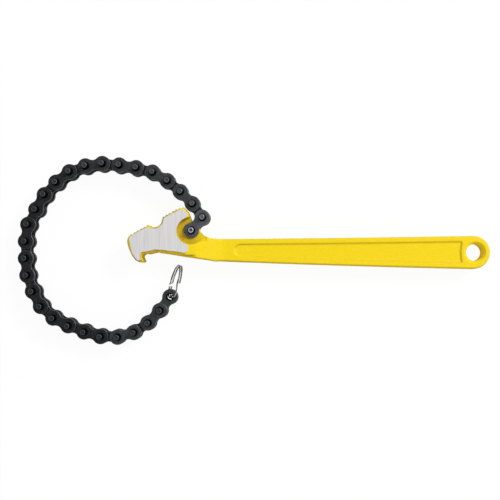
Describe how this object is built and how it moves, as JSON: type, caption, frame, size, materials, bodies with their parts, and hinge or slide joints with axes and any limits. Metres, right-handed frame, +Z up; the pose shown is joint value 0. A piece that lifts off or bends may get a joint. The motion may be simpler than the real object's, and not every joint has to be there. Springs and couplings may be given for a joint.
{
  "type": "chain wrench",
  "caption": "Chain wrench: a forged double-jaw handle with a roller-type chain anchored in its head and a split ring on the chain's free end.",
  "frame": {"origin": "middle of the footprint, on the surface that the wrench lies on", "axes": "+X along the handle away from the head, +Y from the hooks towards the toothed jaws, +Z up, square to the side faces"},
  "size_m": [0.3944, 0.1576, 0.0289],
  "materials": {
    "yellow_paint": "gloss enamel over forged steel",
    "black_oxide_steel": "black oxide",
    "plated_steel": "bright nickel plate"
  },
  "bodies": {
    "handle": {"handle": "yellow_paint"},
    "link_01": {"link_01_cover_plate": "black_oxide_steel", "link_01_pin_plate": "black_oxide_steel"},
    "link_02": {"link_02_cover_plate": "black_oxide_steel", "link_02_bush_plate": "black_oxide_steel"},
    "link_03": {"link_03_cover_plate": "black_oxide_steel", "link_03_pin_plate": "black_oxide_steel"},
    "link_04": {"link_04_cover_plate": "black_oxide_steel", "link_04_bush_plate": "black_oxide_steel"},
    "link_05": {"link_05_cover_plate": "black_oxide_steel", "link_05_pin_plate": "black_oxide_steel"},
    "link_06": {"link_06_cover_plate": "black_oxide_steel", "link_06_bush_plate": "black_oxide_steel"},
    "link_07": {"link_07_cover_plate": "black_oxide_steel", "link_07_pin_plate": "black_oxide_steel"},
    "link_08": {"link_08_cover_plate": "black_oxide_steel", "link_08_bush_plate": "black_oxide_steel"},
    "link_09": {"link_09_cover_plate": "black_oxide_steel", "link_09_pin_plate": "black_oxide_steel"},
    "link_10": {"link_10_cover_plate": "black_oxide_steel", "link_10_bush_plate": "black_oxide_steel"},
    "link_11": {"link_11_cover_plate": "black_oxide_steel", "link_11_pin_plate": "black_oxide_steel"},
    "link_12": {"link_12_cover_plate": "black_oxide_steel", "link_12_bush_plate": "black_oxide_steel"},
    "link_13": {"link_13_cover_plate": "black_oxide_steel", "link_13_pin_plate": "black_oxide_steel"},
    "link_14": {"link_14_cover_plate": "black_oxide_steel", "link_14_bush_plate": "black_oxide_steel"},
    "link_15": {"link_15_cover_plate": "black_oxide_steel", "link_15_pin_plate": "black_oxide_steel"},
    "link_16": {"link_16_cover_plate": "black_oxide_steel", "link_16_bush_plate": "black_oxide_steel"},
    "link_17": {"link_17_cover_plate": "black_oxide_steel", "link_17_pin_plate": "black_oxide_steel"},
    "link_18": {"link_18_cover_plate": "black_oxide_steel", "link_18_bush_plate": "black_oxide_steel"},
    "link_19": {"link_19_cover_plate": "black_oxide_steel", "link_19_pin_plate": "black_oxide_steel"},
    "link_20": {"link_20_cover_plate": "black_oxide_steel", "link_20_bush_plate": "black_oxide_steel"},
    "link_21": {"link_21_cover_plate": "black_oxide_steel", "link_21_pin_plate": "black_oxide_steel"},
    "link_22": {"link_22_cover_plate": "black_oxide_steel", "link_22_bush_plate": "black_oxide_steel"},
    "link_23": {"link_23_cover_plate": "black_oxide_steel", "link_23_pin_plate": "black_oxide_steel"},
    "link_24": {"link_24_cover_plate": "black_oxide_steel", "link_24_bush_plate": "black_oxide_steel"},
    "link_25": {"link_25_cover_plate": "black_oxide_steel", "link_25_pin_plate": "black_oxide_steel"},
    "link_26": {"link_26_cover_plate": "black_oxide_steel", "link_26_bush_plate": "black_oxide_steel"},
    "link_27": {"link_27_cover_plate": "black_oxide_steel", "link_27_pin_plate": "black_oxide_steel"},
    "link_28": {"link_28_cover_plate": "black_oxide_steel", "link_28_bush_plate": "black_oxide_steel"},
    "split_ring": {"split_ring": "plated_steel"}
  },
  "joints": [
    {"name": "chain_pin_01", "type": "hinge", "parent": "handle", "child": "link_01", "pos_m": [-0.05234, 0.01666, 0.0127], "axis": [0, 0, -1], "range_deg": [-2, 28]},
    {"name": "chain_pin_02", "type": "hinge", "parent": "link_01", "child": "link_02", "pos_m": [-0.04322, 0.02754, 0.0127], "axis": [0, 0, 1], "range_deg": [-16, 2]},
    {"name": "chain_pin_03", "type": "hinge", "parent": "link_02", "child": "link_03", "pos_m": [-0.05156, 0.03902, 0.0127], "axis": [0, 0, -1], "range_deg": [-21, 20]},
    {"name": "chain_pin_04", "type": "hinge", "parent": "link_03", "child": "link_04", "pos_m": [-0.0616, 0.04906, 0.0127], "axis": [0, 0, 1], "range_deg": [-18, 17]},
    {"name": "chain_pin_05", "type": "hinge", "parent": "link_04", "child": "link_05", "pos_m": [-0.07248, 0.05819, 0.0127], "axis": [0, 0, -1], "range_deg": [-11, 24]},
    {"name": "chain_pin_06", "type": "hinge", "parent": "link_05", "child": "link_06", "pos_m": [-0.08478, 0.06529, 0.0127], "axis": [0, 0, 1], "range_deg": [-75, 9]},
    {"name": "chain_pin_07", "type": "hinge", "parent": "link_06", "child": "link_07", "pos_m": [-0.09849, 0.06897, 0.0127], "axis": [0, 0, -1], "range_deg": [-6, 71]},
    {"name": "chain_pin_08", "type": "hinge", "parent": "link_07", "child": "link_08", "pos_m": [-0.11252, 0.07119, 0.0127], "axis": [0, 0, 1], "range_deg": [-66, 5]},
    {"name": "chain_pin_09", "type": "hinge", "parent": "link_08", "child": "link_09", "pos_m": [-0.12666, 0.07243, 0.0127], "axis": [0, 0, -1], "range_deg": [-4, 61]},
    {"name": "chain_pin_10", "type": "hinge", "parent": "link_09", "child": "link_10", "pos_m": [-0.14073, 0.07045, 0.0127], "axis": [0, 0, 1], "range_deg": [-56, 3]},
    {"name": "chain_pin_11", "type": "hinge", "parent": "link_10", "child": "link_11", "pos_m": [-0.15407, 0.06559, 0.0127], "axis": [0, 0, -1], "range_deg": [-2, 57]},
    {"name": "chain_pin_12", "type": "hinge", "parent": "link_11", "child": "link_12", "pos_m": [-0.16526, 0.05685, 0.0127], "axis": [0, 0, 1], "range_deg": [-57, 2]},
    {"name": "chain_pin_13", "type": "hinge", "parent": "link_12", "child": "link_13", "pos_m": [-0.17494, 0.04646, 0.0127], "axis": [0, 0, -1], "range_deg": [-2, 57]},
    {"name": "chain_pin_14", "type": "hinge", "parent": "link_13", "child": "link_14", "pos_m": [-0.18205, 0.03417, 0.0127], "axis": [0, 0, 1], "range_deg": [-57, 2]},
    {"name": "chain_pin_15", "type": "hinge", "parent": "link_14", "child": "link_15", "pos_m": [-0.18871, 0.02163, 0.0127], "axis": [0, 0, -1], "range_deg": [-2, 62]},
    {"name": "chain_pin_16", "type": "hinge", "parent": "link_15", "child": "link_16", "pos_m": [-0.19069, 0.00757, 0.0127], "axis": [0, 0, 1], "range_deg": [-66, 2]},
    {"name": "chain_pin_17", "type": "hinge", "parent": "link_16", "child": "link_17", "pos_m": [-0.19069, -0.00663, 0.0127], "axis": [0, 0, -1], "range_deg": [-2, 71]},
    {"name": "chain_pin_18", "type": "hinge", "parent": "link_17", "child": "link_18", "pos_m": [-0.18945, -0.02078, 0.0127], "axis": [0, 0, 1], "range_deg": [-75, 2]},
    {"name": "chain_pin_19", "type": "hinge", "parent": "link_18", "child": "link_19", "pos_m": [-0.18483, -0.0342, 0.0127], "axis": [0, 0, -1], "range_deg": [-2, 74]},
    {"name": "chain_pin_20", "type": "hinge", "parent": "link_19", "child": "link_20", "pos_m": [-0.17816, -0.04674, 0.0127], "axis": [0, 0, 1], "range_deg": [-72, 2]},
    {"name": "chain_pin_21", "type": "hinge", "parent": "link_20", "child": "link_21", "pos_m": [-0.16778, -0.05643, 0.0127], "axis": [0, 0, -1], "range_deg": [-3, 71]},
    {"name": "chain_pin_22", "type": "hinge", "parent": "link_21", "child": "link_22", "pos_m": [-0.15512, -0.06287, 0.0127], "axis": [0, 0, 1], "range_deg": [-69, 3]},
    {"name": "chain_pin_23", "type": "hinge", "parent": "link_22", "child": "link_23", "pos_m": [-0.14187, -0.06796, 0.0127], "axis": [0, 0, -1], "range_deg": [-4, 88]},
    {"name": "chain_pin_24", "type": "hinge", "parent": "link_23", "child": "link_24", "pos_m": [-0.12822, -0.07188, 0.0127], "axis": [0, 0, 1], "range_deg": [-104, 5]},
    {"name": "chain_pin_25", "type": "hinge", "parent": "link_24", "child": "link_25", "pos_m": [-0.11403, -0.07237, 0.0127], "axis": [0, 0, -1], "range_deg": [-9, 119]},
    {"name": "chain_pin_26", "type": "hinge", "parent": "link_25", "child": "link_26", "pos_m": [-0.10038, -0.06846, 0.0127], "axis": [0, 0, 1], "range_deg": [-135, 21]},
    {"name": "chain_pin_27", "type": "hinge", "parent": "link_26", "child": "link_27", "pos_m": [-0.0886, -0.06052, 0.0127], "axis": [0, 0, -1], "range_deg": [-28, 132]},
    {"name": "chain_pin_28", "type": "hinge", "parent": "link_27", "child": "link_28", "pos_m": [-0.07874, -0.0503, 0.0127], "axis": [0, 0, 1], "range_deg": [-115, 115]},
    {"name": "ring_swing", "type": "hinge", "parent": "link_28", "child": "split_ring", "pos_m": [-0.07039, -0.03882, 0.0127], "axis": [0, 0, -1], "range_deg": [-111, 140]}
  ]
}
